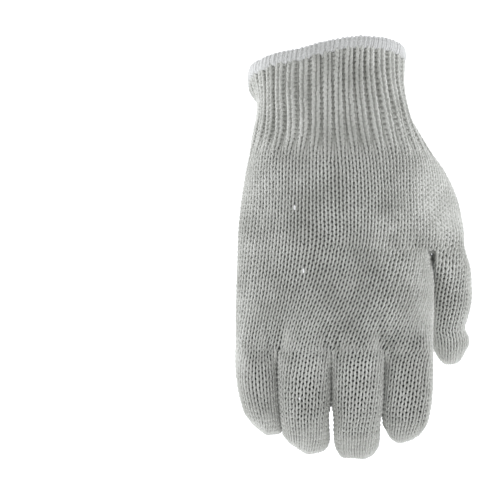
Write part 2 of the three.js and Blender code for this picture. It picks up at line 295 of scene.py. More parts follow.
# Bleached slubs in the string on the back of the hand: x, z and half length of each
SLUBS = {
    "hand_body": (-18.9, -82.3, 1.1),
    "lower_palm": (-14.4, -117.3, 1.0),
    "ring_finger": (-16.1, -186.7, 0.4),
}
NOT_AT_ALL = -9
# Courses and wales of each, how far down its string begins to fill its stitches, how soon that is done,
# how far its wales flow on to the left, in wales, and how far down its left and right sides touch another
DIGIT_KNIT = {
    "little_finger": (18, 18, 2, 24, 0.15, NOT_AT_ALL, 60),
    "ring_finger": (22, 22, 35, 8, 0.4, 60, 33),
    "middle_finger": (23, 22, 45, 2, 0.55, 33, 36),
    "index_finger": (20, 20, 36, 5, 0.8, 36, NOT_AT_ALL),
    "thumb": (25, 18, 44, 6, 0.8, 30, NOT_AT_ALL),
}

# Where wales 0, 6, 12, 18 and 24 lie on the back of the hand: x at each height
GUIDE_WALES = (0, 6, 12, 18, 24)
GUIDES = table(
    "height a b c d e",
    (3, -32.6, -13.8, 4.4, 22.6, 39.4),
    (-17, -33.0, -14.0, 4.3, 22.4, 39.2),
    (-33, -32.8, -13.7, 5.3, 24.6, 42.4),
    (-42, -33.4, -14.4, 5.9, 26.2, 45.4),
    (-50, -35.4, -16.2, 6.2, 27.6, 48.6),
    (-60, -37.0, -17.2, 6.6, 28.6, 50.8),
    (-80, -38.0, -17.2, 7.4, 29.8, 51.8),
    (-95, -39.2, -17.2, 7.2, 30.0, 51.7),
    (-105, -40.4, -18.0, 5.6, 29.0, 50.9),
    (-114, -41.6, -19.3, 3.4, 27.0, 49.8),
    (-124, -43.0, -21.2, 0.7, 24.4, 47.6),
    (-135, -44.3, -23.7, -2.6, 21.0, 44.4),
    (-146, -45.6, -26.4, -6.2, 16.6, 39.6),
    (-160, -47.4, -29.6, -10.2, 11.2, 33.2),
)


def read(rows, name, place):
    """A column of a table along a smooth curve through its rows."""
    key, values = next(iter(rows.values())), rows[name]
    place = np.asarray(place, float)
    if key[0] > key[-1]:
        key, place = -key, -place
    i = np.clip(np.searchsorted(key, place, side="right") - 1, 0, len(key) - 2)
    span = key[i + 1] - key[i]
    t = np.clip((place - key[i]) / span, 0, 1)
    row = np.arange(len(key))
    low, high = np.maximum(row - 1, 0), np.minimum(row + 1, len(key) - 1)
    slope = (values[high] - values[low]) / (key[high] - key[low])
    rise = (values[i + 1] - values[i]) * t * t * (3 - 2 * t)
    bend = slope[i] * t * (1 - t) ** 2 - slope[i + 1] * t * t * (1 - t)
    return values[i] + rise + span * bend


def smooth(x, low, high):
    """From 0 at low to 1 at high, with level ends."""
    t = np.clip((x - low) / (high - low), 0, 1)
    return t * t * (3 - 2 * t)


def superellipse(power):
    """Across and back, from -1 to 1, around a ring from the left edge over the back of the hand."""
    angle = math.pi + 2 * math.pi * np.arange(CURVE_STEPS) / CURVE_STEPS
    cos, sin = np.cos(angle), np.sin(angle)
    power = np.reshape(power, (-1, 1))
    size = (np.abs(cos) ** power + np.abs(sin) ** power) ** (-1 / power)
    return cos * size, sin * size


def turns(steps):
    """The turn from the right edge, over the palm's side, at even steps around a ring from its left edge."""
    return (np.arange(steps) / steps + 0.5) % 1


def lengths(ring):
    """How far each point of a ring lies from its first, and its whole length at the end."""
    closed = np.vstack((ring, ring[:1]))
    return np.append(0, np.cumsum(np.linalg.norm(np.diff(closed, axis=0), axis=1)))


def reach(ring, x):
    """Where a ring lies in front and behind at each x, and nan beside it."""
    edge = np.argmax(ring[:, 0])
    front, behind = ring[: edge + 1], np.vstack((ring[edge:], ring[:1]))[::-1]
    inside = (x > ring[:, 0].min()) & (x < ring[:, 0].max())
    sides = [np.interp(x, chain[:, 0], chain[:, 1]) for chain in (front, behind)]
    return [np.where(inside, side, np.nan) for side in sides]


def hand_rings(rows, heights, below=None):
    """The hand's face at each height: an array of levels, steps around and x, y, z."""
    size = {name: read(rows, name, heights)[:, None] for name in list(rows)[1:]}
    middle_x = (size["left"] + size["right"]) / 2
    across, back = superellipse(HAND_POWER)
    x = middle_x + (size["right"] - size["left"]) / 2 * across
    h = heights[:, None]
    arch = smooth(-h, 0, -THUMB_CROTCH) * across**2
    middle = size["middle"] + KNUCKLE_ARCH * arch + THUMB_SWING * size["swing"] * smooth(x, *SWING_RANGE)
    cup = np.where(back > 0, size["hollow"] * np.exp(-(((x - HOLLOW_X) / HOLLOW_REACH) ** 2)), 0)
    y = middle + size["halfDepth"] * back * (1 - cup)
    if below:
        rings, furrow = below
        share = smooth(FURROW_REACH - (h - next(iter(rows.values()))[-1]), 0, FURROW_REACH)
        floor = middle + furrow * (y - middle)
        sides = np.full((2, *x.shape), np.nan)
        for ring in rings:
            sides = np.where(np.isnan(sides), reach(ring, x), sides)
        target = np.where(
            y > middle,
            np.fmax(sides[1], floor),
            np.fmin(sides[0], floor),
        )
        y = y + (target - y) * share
    lift = (1 - smooth(CUFF_TOP - h, 0, CUFF_TOP - CUFF_BOTTOM)) * read(RIM, "lift", turns(CURVE_STEPS))
    return np.stack((x, y, h + lift + 0 * x), axis=-1)


def digit_rings(name, drops):
    """A finger's face at each distance below its crotch."""
    rows = DIGITS[name]
    size = {column: read(rows, column, drops)[:, None] for column in list(rows)[1:]}
    top = THUMB_CROTCH if name == "thumb" else FINGER_CROTCH
    d, length = drops[:, None], rows["drop"][-1]
    rounded = smooth(d, 0, ROUNDING)
    lean = np.arctan(read(rows, "y", d + 0.5) - read(rows, "y", d - 0.5)) * rounded
    near_tip = np.clip(1 - (length - d) / TIP_LENGTH, 0, 1)
    rounding = (1 - near_tip**TIP_POWER) ** (1 / TIP_POWER)
    top_power, pressed = (THUMB_TOP_POWER, THUMB_PRESS) if name == "thumb" else (FINGER_TOP_POWER, PRESS)
    across, back = superellipse(top_power + (FINGER_POWER - top_power) * rounded)
    touches = (1 - smooth(d, *(end + fade for fade in PRESS_FADE)) for end in DIGIT_KNIT[name][5:])
    press = pressed * np.where(across < 0, *touches)
    press = press * (d > 0) * smooth(abs(across), PRESS_REACH, 1)
    width = ((size["right"] - size["left"]) / 2 + press) * (1 - TIP_NARROWING * near_tip**3) * across
    depth = size["halfDepth"] * rounding * back + width * size.get("shear", 0)
    rise = read(TIPS, name, across) * smooth(d, length - TIP_SLOPE, length)
    z = top - d + depth * np.sin(lean) + rise
    x = (size["left"] + size["right"]) / 2 + width
    return np.stack((x, size["y"] + depth * np.cos(lean), z), axis=-1)


def joined(rings, parent, below, edge=FINGER_EDGE):
    """The rings at these distances below their parent, the hand's last ring, which they leave by degrees.

    Beyond edge, a share of the half width, they leave it at once and close at their sides.
    """
    inside = 0.1  # keeps off the parent's two edges
    sides = reach(parent, np.clip(rings[..., 0], parent[:, 0].min() + inside, parent[:, 0].max() - inside))
    front = np.arange(CURVE_STEPS) < CURVE_STEPS / 2
    shapes = rings.copy()
    middle = (rings[..., :1].min(axis=1) + rings[..., :1].max(axis=1)) / 2
    across = np.abs(rings[..., 0] - middle) / (rings[..., 0].max(axis=1, keepdims=True) - middle)
    share = (1 - smooth(below, 0, BLEND))[:, None] * (1 - smooth(across, edge, 1))
    shapes[..., 1] += (np.where(front, *sides) - rings[..., 1]) * share
    return shapes


def cut(rings, places, shapes=None):
    """Points at these shares of each ring's length from its left edge, on the ring or on its shape."""
    shapes = rings if shapes is None else shapes
    out = np.empty((len(rings), places.shape[-1], 3))
    for ring, place, shape, row in zip(rings, np.broadcast_to(places, out.shape[:2]), shapes, out):
        length = lengths(ring)
        closed = np.vstack((shape, shape[:1]))
        for axis in range(3):
            row[:, axis] = np.interp(place % 1 * length[-1], length, closed[:, axis])
    return out


def guided(rings, heights, wales):
    """Shares of each ring's length, GRID to a wale, along the guide wales of the back of the hand."""
    places = np.empty((len(rings), wales * GRID))
    count = np.arange(wales * GRID) / GRID
    spare = np.linspace(0, 1, 5)[1:-1]  # of the way on from the last guide around to the first
    number, last = np.array(GUIDE_WALES), GUIDE_WALES[-1]
    for ring, height, row in zip(rings, heights, places):
        length = lengths(ring)
        edge = np.argmax(ring[:, 0])
        guides = np.array([read(GUIDES, name, height) for name in "abcde"])
        known = np.interp(guides, ring[: edge + 1, 0], length[: edge + 1]) / length[-1]
        even = known[-1] + (1 + known[0] - known[-1]) * spare
        width = PALM_SIDE_WALE * (1 + WIDENING * smooth(-height, *WIDENING_DEPTHS))
        kept = 1 + known[0] - (1 - spare) * (wales - last) * width / length[-1]
        even += (kept - even) * smooth(height, PALM_SIDE_START, THUMB_CROTCH)
        between = last + (wales - last) * spare
        wale = np.concatenate((between[-1:] - wales, number, between, wales + number))
        share = np.concatenate((even[-1:] - 1, known, even, 1 + known))
        row[:] = read({"wale": wale, "share": share}, "share", count)
        fan = smooth(height, *FAN_HEIGHTS[:2]) * (1 - smooth(height, *FAN_HEIGHTS[1:]))
        row -= FAN / length[-1] * fan * np.exp(-(((count - FAN_WALE) / FAN_WALES) ** 2))
    return places


# Knitting

class Face:
    """A tube's face: rows of points, one for each height, with GRID points to a wale, closed around."""

    def __init__(self, points, heights):
        self.points = points
        self.sign = 1 if heights[-1] > heights[0] else -1
        self.heights = heights * self.sign
        across = np.roll(points, -1, axis=1) - np.roll(points, 1, axis=1)
        normal = np.cross(np.gradient(points, axis=0), across)
        self.normals = normal / np.linalg.norm(normal, axis=-1, keepdims=True)

    def at(self, wale, height):
        """Points and normals of the face there."""
        level = np.interp(height * self.sign, self.heights, np.arange(len(self.heights)))
        level = np.clip(level, 0, len(self.heights) - 1.001)
        i, j = np.floor(level).astype(int), np.floor(wale * GRID).astype(int)
        a, b = (level - i)[..., None], (wale * GRID - j)[..., None]
        j, k = j % self.points.shape[1], (j + 1) % self.points.shape[1]
        point, normal = (
            (g[i, j] * (1 - b) + g[i, k] * b) * (1 - a) + (g[i + 1, j] * (1 - b) + g[i + 1, k] * b) * a
            for g in (self.points, self.normals)
        )
        return point, normal / np.linalg.norm(normal, axis=-1, keepdims=True)


def wander(random, rows, count, steps, size):
    """Smooth random lines around courses, with a new value for each of count knots."""
    knots = random.normal(0, size, (rows, count))
    place = np.arange(count * steps) / steps
    i = np.floor(place).astype(int)
    t = smooth(place - i, 0, 1)
    return knots[:, i] * (1 - t) + knots[:, (i + 1) % count] * t


def drift(random, wales, most_turns, size):
    """A smooth random field over a tube: a sum of slow waves that close around it."""
    waves = [
        (
            random.integers(0, most_turns),
            random.uniform(-WAVE_SLOPE, WAVE_SLOPE),
            random.uniform(0, WAVE_START),
        )
        for _ in range(SLOW_WAVES)
    ]
    return lambda wale, height: size / WAVES_SUM * sum(
        np.sin(2 * math.pi * turn * wale / wales + slope * height + start) for turn, slope, start in waves
    )


def tubes(paths, radii, outward, sides):
    """A mesh of closed yarns along paths. Its UV map holds the length along and the turn around."""
    ahead, behind = np.roll(paths, -1, axis=1), np.roll(paths, 1, axis=1)
    tangent = ahead - behind
    tangent /= np.linalg.norm(tangent, axis=-1, keepdims=True)
    side = np.cross(tangent, outward)
    side /= np.linalg.norm(side, axis=-1, keepdims=True)
    up = np.cross(side, tangent)
    angle = 2 * math.pi * np.arange(sides) / sides
    ring = side[:, :, None] * np.cos(angle)[:, None] + up[:, :, None] * np.sin(angle)[:, None]
    points = paths[:, :, None] + ring * radii[..., None]
    yarns, count = paths.shape[:2]
    index = np.arange(yarns * count * sides).reshape(yarns, count, sides)
    on, over = np.roll(index, -1, axis=1), np.roll(index, -1, axis=2)
    faces = np.stack((index, on, np.roll(on, -1, axis=2), over), axis=-1).reshape(-1, 4)
    step = np.linalg.norm(ahead - paths, axis=-1)
    length = np.concatenate((np.zeros((yarns, 1)), np.cumsum(step, axis=1)), axis=1)
    near = np.arange(sides) / sides + 0 * length[:, :-1, None]
    start, end = length[:, :-1, None] + 0 * near, length[:, 1:, None] + 0 * near
    far = near + 1 / sides
    uv = np.stack((start, near, end, near, end, far, start, far), axis=-1).reshape(-1, 2)
    return points.reshape(-1, 3), faces, uv, np.zeros(len(faces), int)


def join(mesh, points, faces, slot, uv=None):
    """A mesh of points, faces, UV map and slots, with more faces that take the material of this slot."""
    uv = np.zeros((faces.size, 2)) if uv is None else uv
    more = points, faces + len(mesh[0]), uv, np.full(len(faces), slot)
    return [np.concatenate(pair) for pair in zip(mesh, more)]


def knit(seed, slow_seed, face, gauge, span, plump, yarn, slack_sides=(HAND_SLACK, HAND_SLACK), ribs=None):
    """Plain knitting on a face, in a gauge of wales and courses: one closed yarn to a course.

    Its legs stand in front and its heads behind.
    """
    wales, courses = gauge
    random, slow = np.random.default_rng(seed), np.random.default_rng(slow_seed)
    step = (span[1] - span[0]) / courses
    line = (span[0] + step * (np.arange(courses) + 0.5))[:, None]
    even = 2 * math.pi * np.arange(wales * STEPS) / STEPS
    t = even - BEND_STEPS * np.sin(2 * even)
    knots = wales * 2, STEPS // 2
    height = line - RISE * step * np.cos(t) + wander(random, courses, *knots, yarn.stray)
    waist = WAIST if ribs else WAIST * plump(height) ** WAIST_FILLING
    wale = t / (2 * math.pi) + waist * np.sin(2 * t)
    wale = wale + wander(random, courses, *knots, yarn.stray * STRAY_ASIDE)
    wale = wale + drift(slow, wales, wales // SLOW_TURNS, SLOW_ASIDE)(wale, height)
    height = height + drift(slow, wales, wales // ROW_TURNS + 1, SLOW_ALONG)(wale, height)
    radius = yarn.diameter / 2
    out = -yarn.loop_depth * np.cos(2 * t) + wander(random, courses, *knots, yarn.stray * STRAY_OUT)
    out = out + drift(slow, wales, wales // SLOW_TURNS, SLOW_OUT)(wale, height)
    rib = np.zeros_like(height)
    if ribs:
        share = ribs(height)
        out = out * (1 - share * (1 - np.cos(even / 2)) / 2)
        rib = rib_relief(wale, share)
        wale = wale + RIB_SQUEEZE * share * np.sin(math.pi * wale) / math.pi
    centre, outward = face.at(wale, height)
    slack = slackness(centre, outward, slack_sides)
    swell = np.maximum(plump(height), 1 + SIDE_FULLNESS * slack)
    swell = swell * (1 + wander(random, courses, wales, STEPS, UNEVEN))
    if ribs:
        swell = swell + share * np.where(rib < 0, FURROW_FULLNESS, CREST_FULLNESS)
    drawn = smooth(centre[..., 2], *STRETCHED[:2]) * (1 - smooth(centre[..., 2], *STRETCHED[2:]))
    swell = swell * (1 - PALM_STRETCH * drawn)
    depth = out * (1 - SLACK_FLATTENING * slack) + rib - yarn.loop_depth - radius
    paths = centre + outward * depth[..., None]
    fuzz = 1 + random.normal(0, FUZZ, (*paths.shape[:2], SIDES))
    strings = tubes(paths, radius * swell[..., None] * fuzz, outward, SIDES)
    # Slot 1 is the web of fibres that closes the holes between the stitches, coloured as painted shade
    return join(strings, *fibre_shade_web(face, wales, courses, span, yarn, ribs), 1)


def with_slub(mesh, face, node):
    """The mesh with its bleached slub, a short spindle of loose fibres that stands out of the string."""
    if node not in SLUBS:
        return mesh
    *middle, half_length = SLUBS[node]
    distance = ((face.points[..., (0, 2)] - middle) ** 2).sum(axis=-1)
    distance[face.normals[..., 1] > 0] = math.inf
    nearest = face.points[np.unravel_index(np.argmin(distance), distance.shape)]
    turn = 2 * math.pi * np.arange(SLUB_STEPS) / SLUB_STEPS
    loop = np.stack((SLUB_HALF_WIDTH * np.sin(turn), 0 * turn, half_length * np.cos(turn)), axis=-1)
    radii = np.full((1, SLUB_STEPS, 1), SLUB_RADIUS)
    points, faces, uv, _ = tubes((nearest + loop)[None], radii, np.array([0, -1.0, 0]), SIDES)
    return join(mesh, points, faces, 2, uv)


def slackness(points, normals, slack_sides):
    """How little the knit is stretched: at the glove's sides, and in the web beside the thumb."""
    across = normals[..., 0]
    sides = np.where(across < 0, smooth(-across, *slack_sides[0]), smooth(across, *slack_sides[1]))
    up = points[..., 2] - WEB_Z
    aside = points[..., 0] - WEB_X - WEB_LEAN * up
    web = WEB_SLACK * np.exp(-((aside / WEB_WIDTH) ** 2) - (up / WEB_HEIGHT) ** 2)
    return np.maximum(sides, np.minimum(WEB_MOST, web) * (normals[..., 1] < 0))


def rib_relief(wale, share):
    """How far a rib's crest stands out and its furrow sinks in, by the wale."""
    wave = np.cos(math.pi * wale)
    return share * np.where(wave > 0, RIB_CREST, RIB_FURROW) * np.sign(wave) * np.abs(wave) ** RIB_POWER


def fibre_shade_web(face, wales, courses, span, yarn, ribs):
    """The loose fibres between the stitches: a web through the heads of the loops that closes the holes and,
    in its painted shade, stands for the glove's shaded inside.
    """
    past = math.copysign(FIBRES_PAST, span[1] - span[0])
    rows = np.linspace(span[0] - past, span[1] + past, courses + 3)
    wale, height = np.meshgrid(np.arange(wales * 2) / 2, rows)
    share = ribs(height) if ribs else 0 * height
    sink = rib_relief(wale, share)
    wale = wale + RIB_SQUEEZE * share * np.sin(math.pi * wale) / math.pi
    centre, outward = face.at(wale, height)
    depth = (FIBRE_DEPTH - FIBRE_RISE * share) * yarn.loop_depth
    points = centre + outward * (sink - depth - yarn.diameter / 2)[..., None]
    return points.reshape(-1, 3), bands(*wale.shape)


def bands(rows, columns):
    """Faces between rows of points that close around."""
    index = np.arange(rows * columns).reshape(rows, columns)
    on = np.roll(index, -1, axis=1)
    return np.stack((index[:-1], index[1:], on[1:], on[:-1]), axis=-1).reshape(-1, 4)


def new_mesh(name, points, faces, uv=None, slots=None):
    """A smooth mesh object of these points in millimetres, with its UV map and its faces' materials."""
    mesh = bpy.data.meshes.new(name)
    mesh.vertices.add(len(points))
    mesh.vertices.foreach_set("co", (points * MM).astype(np.float32).ravel())
    mesh.loops.add(faces.size)
    mesh.loops.foreach_set("vertex_index", faces.astype(np.int32).ravel())
    mesh.polygons.add(len(faces))
    mesh.polygons.foreach_set("loop_start", np.arange(0, faces.size, faces.shape[1], dtype=np.int32))
    mesh.update(calc_edges=True)
    if uv is not None:
        layer = mesh.uv_layers.new(name="yarn")
        layer.data.foreach_set("uv", uv.astype(np.float32).ravel())
    mesh.polygons.foreach_set("use_smooth", np.ones(len(faces), bool))
    if slots is not None:
        mesh.polygons.foreach_set("material_index", slots.astype(np.int32))
    mesh.validate()
    piece = bpy.data.objects.new(name, mesh)
    bpy.context.scene.collection.objects.link(piece)
    return piece


def dress(node, slot, mesh, *materials):
    """Makes a piece that stands for a node of the frame."""
    piece = new_mesh(node + "_" + slot.split("_")[-1], *mesh)
    for material in materials:
        piece.data.materials.append(material)
    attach(piece, "root")
    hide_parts(node)


# Materials

def linear(colour):
    """An sRGB hex colour as linear red, green, blue and alpha."""
    parts = [int(colour[i : i + 2], 16) / 255 for i in (1, 3, 5)]
    return [c / 12.92 if c <= 0.04045 else ((c + 0.055) / 1.055) ** 2.4 for c in parts] + [1.0]


def add_node(tree, kind, settings=None, values=None, links=None):
    """Adds a shader node with its settings, its inputs' values and the sockets linked into it."""
    node = tree.nodes.new("ShaderNode" + kind)
    for name, value in (settings or {}).items():
        setattr(node, name, value)
    for name, value in (values or {}).items():
        node.inputs[name].default_value = value
    for name, socket in (links or {}).items():
        tree.links.new(socket, node.inputs[name])
    return node


def empty_material(name):
    material = bpy.data.materials.new(name)
    material.use_nodes = True
    material.node_tree.nodes.clear()
    return material, material.node_tree


def blend(tree, value, between, first, second):
    """A colour that goes from the first to the second while the value goes between these two."""
    limits = {"From Min": between[0], "From Max": between[1]}
    share = add_node(tree, "MapRange", None, limits, {"Value": value})
    colours = {"A": linear(first), "B": linear(second)}
    mix = add_node(tree, "Mix", {"data_type": "RGBA"}, colours, {"Factor": share.outputs[0]})
    return mix.outputs["Result"]


def finish_material(tree, values, links=None):
    shader = add_node(tree, "BsdfPrincipled", None, values, links)
    add_node(tree, "OutputMaterial", links={0: shader.outputs[0]})


def spun_yarn(name, light, dark, ply_pitch, plies):
    """Spun cotton and polyester: matt, fuzzy at its edges, flecked, with the slanting twist of its plies."""
    material, tree = empty_material(name)
    yarn = add_node(tree, "UVMap", {"uv_map": "yarn"})
    along = add_node(tree, "SeparateXYZ", links={0: yarn.outputs[0]})
    pitch = add_node(tree, "Math", {"operation": "DIVIDE"}, {1: ply_pitch}, {0: along.outputs[0]})
    turn = add_node(tree, "Math", {"operation": "ADD"}, None, {0: pitch.outputs[0], 1: along.outputs[1]})
    phase = add_node(tree, "Math", {"operation": "MULTIPLY"}, {1: plies * 2 * math.pi}, {0: turn.outputs[0]})
    ridge = add_node(tree, "Math", {"operation": "SINE"}, None, {0: phase.outputs[0]})
    place = add_node(tree, "TexCoord").outputs["Object"]
    # Flecks of about 1 mm, where the fibres are spun more or less closely
    fine = {"Scale": 0.8 / MM, "Detail": 3, "Roughness": 0.75}
    fleck = add_node(tree, "TexNoise", None, fine, {"Vector": place}).outputs["Fac"]
    # Patches of about 20 mm, where the string came from another length of the spool
    coarse = {"Scale": 0.05 / MM, "Detail": 2}
    patch = add_node(tree, "TexNoise", None, coarse, {"Vector": place}).outputs["Fac"]
    tone = add_node(tree, "Math", {"operation": "ADD"}, None, {0: fleck, 1: patch})
    colour = blend(tree, tone.outputs[0], TONES, dark, light)
    low, lower = ({"Strength": 0.5, "Distance": depth * MM} for depth in (0.2, 0.15))
    twist = add_node(tree, "Bump", None, low, {"Height": ridge.outputs[0]})
    fibres = add_node(tree, "Bump", None, lower, {"Height": fleck, "Normal": twist.outputs[0]})
    matt = {"Roughness": 0.95, "IOR": 1.5, "Specular IOR Level": 0.1}
    fuzzy = {"Sheen Weight": 0.25, "Sheen Roughness": 0.6}
    finish_material(tree, matt | fuzzy, {"Base Color": colour, "Normal": fibres.outputs[0]})
    return material


def loose_fibres(name, colour, cuff_colour):
    """A dull fibre material that goes from one colour to the second towards the cuff. Between the loops it is
    painted shade: dark as the glove's shaded inside, and paler in the closely knitted cuff as shaded string.
    """
    material, tree = empty_material(name)
    place = add_node(tree, "TexCoord").outputs["Object"]
    height = add_node(tree, "SeparateXYZ", links={0: place})
    between = [level * MM for level in FIBRE_SHADE_FADE]
    # Painted shade on the fibres between the loops: from the first colour lower down to the second towards
    # the cuff
    shade = blend(tree, height.outputs["Z"], between, colour, cuff_colour)
    mat = add_node(tree, "TexNoise", None, {"Scale": 2 / MM, "Detail": 2}, {"Vector": place})
    bump = add_node(tree, "Bump", None, {"Distance": 0.2 * MM}, {"Height": mat.outputs["Fac"]})
    dull = {"Roughness": 1.0, "Specular IOR Level": 0.0}
    finish_material(tree, dull, {"Base Color": shade, "Normal": bump.outputs[0]})
    return material


def string_materials(yarn):
    """The string, the fibres between its loops, coloured as painted shade, and the cotton of its slubs, made
    once.
    """
    names = "spun_cotton_string", "fibre_web_painted_shade", "bleached_cotton"
    if names[0] not in bpy.data.materials:
        # Matt off-white string with greyer flecks and the slant of its three plies
        spun_yarn(names[0], yarn.light_fleck, yarn.dark_fleck, 4.5, 3)
        # Painted shade: the dark of the small hollows between the stitches stands for the glove's shaded
        # inside, and is paler in the cuff as the shaded string of its furrows
        loose_fibres(names[1], yarn.hollow, yarn.cuff_hollow_shade)
        # A few small, nearly white specks
        loose_fibres(names[2], yarn.slub, yarn.slub)
    return [bpy.data.materials[name] for name in names]


# Settings

class GloveYarn(bpy.types.PropertyGroup):
    diameter: FloatProperty(
        name="String diameter",
        description="Thickness of the string where it is stretched, in mm",
        default=1.18,
        min=0.5,
    )
    loop_depth: FloatProperty(
        name="Loop depth",
        description="How far a stitch's legs stand in front of the knit's middle, in mm",
        default=0.72,
    )
    stray: FloatProperty(
        name="Unevenness", description="How far a stitch strays from its place, in mm", default=0.1, min=0
    )
    light_fleck: StringProperty(name="Light flecks", description="String's sRGB colour", default="#d2d3ce")
    dark_fleck: StringProperty(name="Dark flecks", description="The same in its flecks", default="#acada7")
    # Painted shade: the colours of the fibres between the loops, dark as the glove's shaded inside and paler
    # in the cuff as shaded string
    hollow: StringProperty(name="Hollows", description="sRGB colour between the loops", default="#4c4d4a")
    cuff_hollow_shade: StringProperty(name="Cuff hollows", description="The same in the cuff", default="#9c9d98")
    slub: StringProperty(name="Slubs", description="sRGB colour of the bleached slubs", default="#fbfbfb")
    thread: StringProperty(name="Hem thread", description="Thread's sRGB colour", default="#cfd0cf")
    thread_shade: StringProperty(name="Hem flecks", description="The same in its flecks", default="#c2c3c1")


class GloveStudio(bpy.types.PropertyGroup):
    ambient: FloatProperty(name="Ambient light", description="Strength of the light all around", default=0.49)
    side_power: FloatProperty(
        name="Side lights", description="Power of each softbox beside the glove", default=9, unit="POWER"
    )
    backdrop_power: FloatProperty(
        name="Backdrop light", description="Power of the light on the backdrop", default=26, unit="POWER"
    )
    distance: FloatProperty(
        name="Camera distance", description="From the camera to the glove", default=1.2, unit="LENGTH"
    )


# Pieces

def heights_between(top, bottom):
    return np.linspace(top, bottom, int(round(abs(top - bottom) / LEVEL)) + 1)


def cuff_ribs(height):
    return smooth(height, *RIB_FADE)


def rim_flare(steps):
    """How far the rim rolls out, for even steps around a ring from its left edge."""
    return HEM_FLARE * np.exp(-(((turns(steps) - FLARE_TURN) / FLARE_WIDTH) ** 2))[:, None]


def hand_fullness(height):
    return 1 + RIB_FULLNESS * smooth(height, *RIB_FULL) ** 2


def hand_ring(crotch):
    """The hand's last ring above a crotch, over the tubes that go on from it."""
    level = np.array([float(crotch)])
    if crotch == THUMB_CROTCH:
        return hand_rings(HAND, level, above_thumb())[0]
    return hand_rings(PALM, level, above_fingers())[0]


def above_thumb():
    """The tubes that the hand's last ring lies over, and how deep it dips between them."""
    palm = hand_rings(PALM, np.array([float(THUMB_CROTCH)]))[0]
    return [palm, digit_rings("thumb", np.array([0.0]))[0]], THUMB_FURROW


def above_fingers():
    return [digit_rings(name, np.array([0.0]))[0] for name in DIGITS if name != "thumb"], FINGER_FURROW


class GLOVE_OT_hem(bpy.types.Operator):
    """Wrap the wrist's edge with overlocked thread"""

    bl_idname = "glove.hem"
    bl_label = "Overlocked hem"

    def execute(self, context):
        yarn = context.scene.glove_yarn
        random = np.random.default_rng(5)
        line = cut(hand_rings(HAND, np.array([CUFF_TOP])), np.arange(HEM_WRAPS)[None] / HEM_WRAPS)[0]
        along = np.roll(line, -1, axis=0) - np.roll(line, 1, axis=0)
        along /= np.linalg.norm(along, axis=-1, keepdims=True)
        out = np.cross([0, 0, -1.0], along)
        out /= np.linalg.norm(out, axis=-1, keepdims=True)
        centre = line + out * (HEM_OUTSET - HEM_THICKNESS / 2 + rim_flare(HEM_WRAPS))
        centre += [0, 0, HEM_HEIGHT / 2 + HEM_RISE]
        angle = 2 * math.pi * np.arange(HEM_STEPS) / HEM_STEPS
        cos, sin = np.cos(angle), np.sin(angle)
        size = (np.abs(cos) ** HEM_POWER + np.abs(sin) ** HEM_POWER) ** (-1 / HEM_POWER)
        across, up = cos * size, sin * size
        by_turns = np.cos(math.pi * np.arange(HEM_WRAPS)[:, None])
        ways = "top", "bottom", "out", "along"
        stray = {way: random.normal(0, HEM_STRAYS[way], (HEM_WRAPS, 1)) for way in ways}
        top = HEM_UP * by_turns + stray["top"]
        tall = HEM_HEIGHT / 2 - HEM_RADIUS + np.where(up > 0, top, stray["bottom"])
        wide = HEM_THICKNESS / 2 - HEM_RADIUS + HEM_OUT * by_turns + stray["out"]
        slant = HEM_SLANT * up + stray["along"]
        upward = np.array([0, 0, 1.0])
        outward = out[:, None] * across[:, None] + upward * up[:, None]
        outward /= np.linalg.norm(outward, axis=-1, keepdims=True)
        paths = (
            centre[:, None]
            + out[:, None] * (wide * across)[..., None]
            + upward * (tall * up)[..., None]
            + along[:, None] * slant[..., None]
        )
        radii = 1 + random.normal(0, HEM_STRAYS["wrap"], (HEM_WRAPS, 1, 1))
        radii = radii + random.normal(0, HEM_STRAYS["step"], (HEM_WRAPS, HEM_STEPS, HEM_SIDES))
        core = centre[:, None] + (paths - centre[:, None]) * HEM_CORE
        core = np.concatenate((core, core[:, :1]), axis=1).transpose(1, 0, 2)
        threads = tubes(paths, HEM_RADIUS * radii, outward, HEM_SIDES)
        mesh = join(threads, core.reshape(-1, 3), bands(*core.shape[:2]), 1)
        # Paler than the string, with hardly a fleck and the slant of its two plies
        thread = spun_yarn("textured_polyester_thread", yarn.thread, yarn.thread_shade, 3.0, 2)
        # The same pale thread, in the shade between the wraps
        core_thread = loose_fibres("thread_core", yarn.thread_shade, yarn.thread_shade)
        dress("overlock_hem", "overlock_thread", mesh, thread, core_thread)
        return {"FINISHED"}


class GLOVE_OT_cuff(bpy.types.Operator):
    """Knit the cuff, whose wales stand up and sink in turn"""

    bl_idname = "glove.cuff"
    bl_label = "Ribbed cuff"

    def execute(self, context):
        yarn = context.scene.glove_yarn
        heights = heights_between(CUFF_FACE_TOP, CUFF_BOTTOM - PAST)
        rings = hand_rings(HAND, heights)
        away = rings[..., :2] - rings[..., :2].mean(axis=1, keepdims=True)
        away *= rim_flare(CURVE_STEPS) / np.linalg.norm(away, axis=-1, keepdims=True)
        rings[..., :2] += away * smooth(heights, *FLARE_HEIGHTS)[:, None, None]
        face = Face(cut(rings, guided(rings, heights, HAND_WALES)), heights)
        gauge, span = (HAND_WALES, CUFF_COURSES), (CUFF_START, CUFF_BOTTOM)
        mesh = knit(1, HAND_SEED, face, gauge, span, hand_fullness, yarn, ribs=cuff_ribs)
        dress("ribbed_cuff", "string_knit", mesh, *string_materials(yarn))
        return {"FINISHED"}


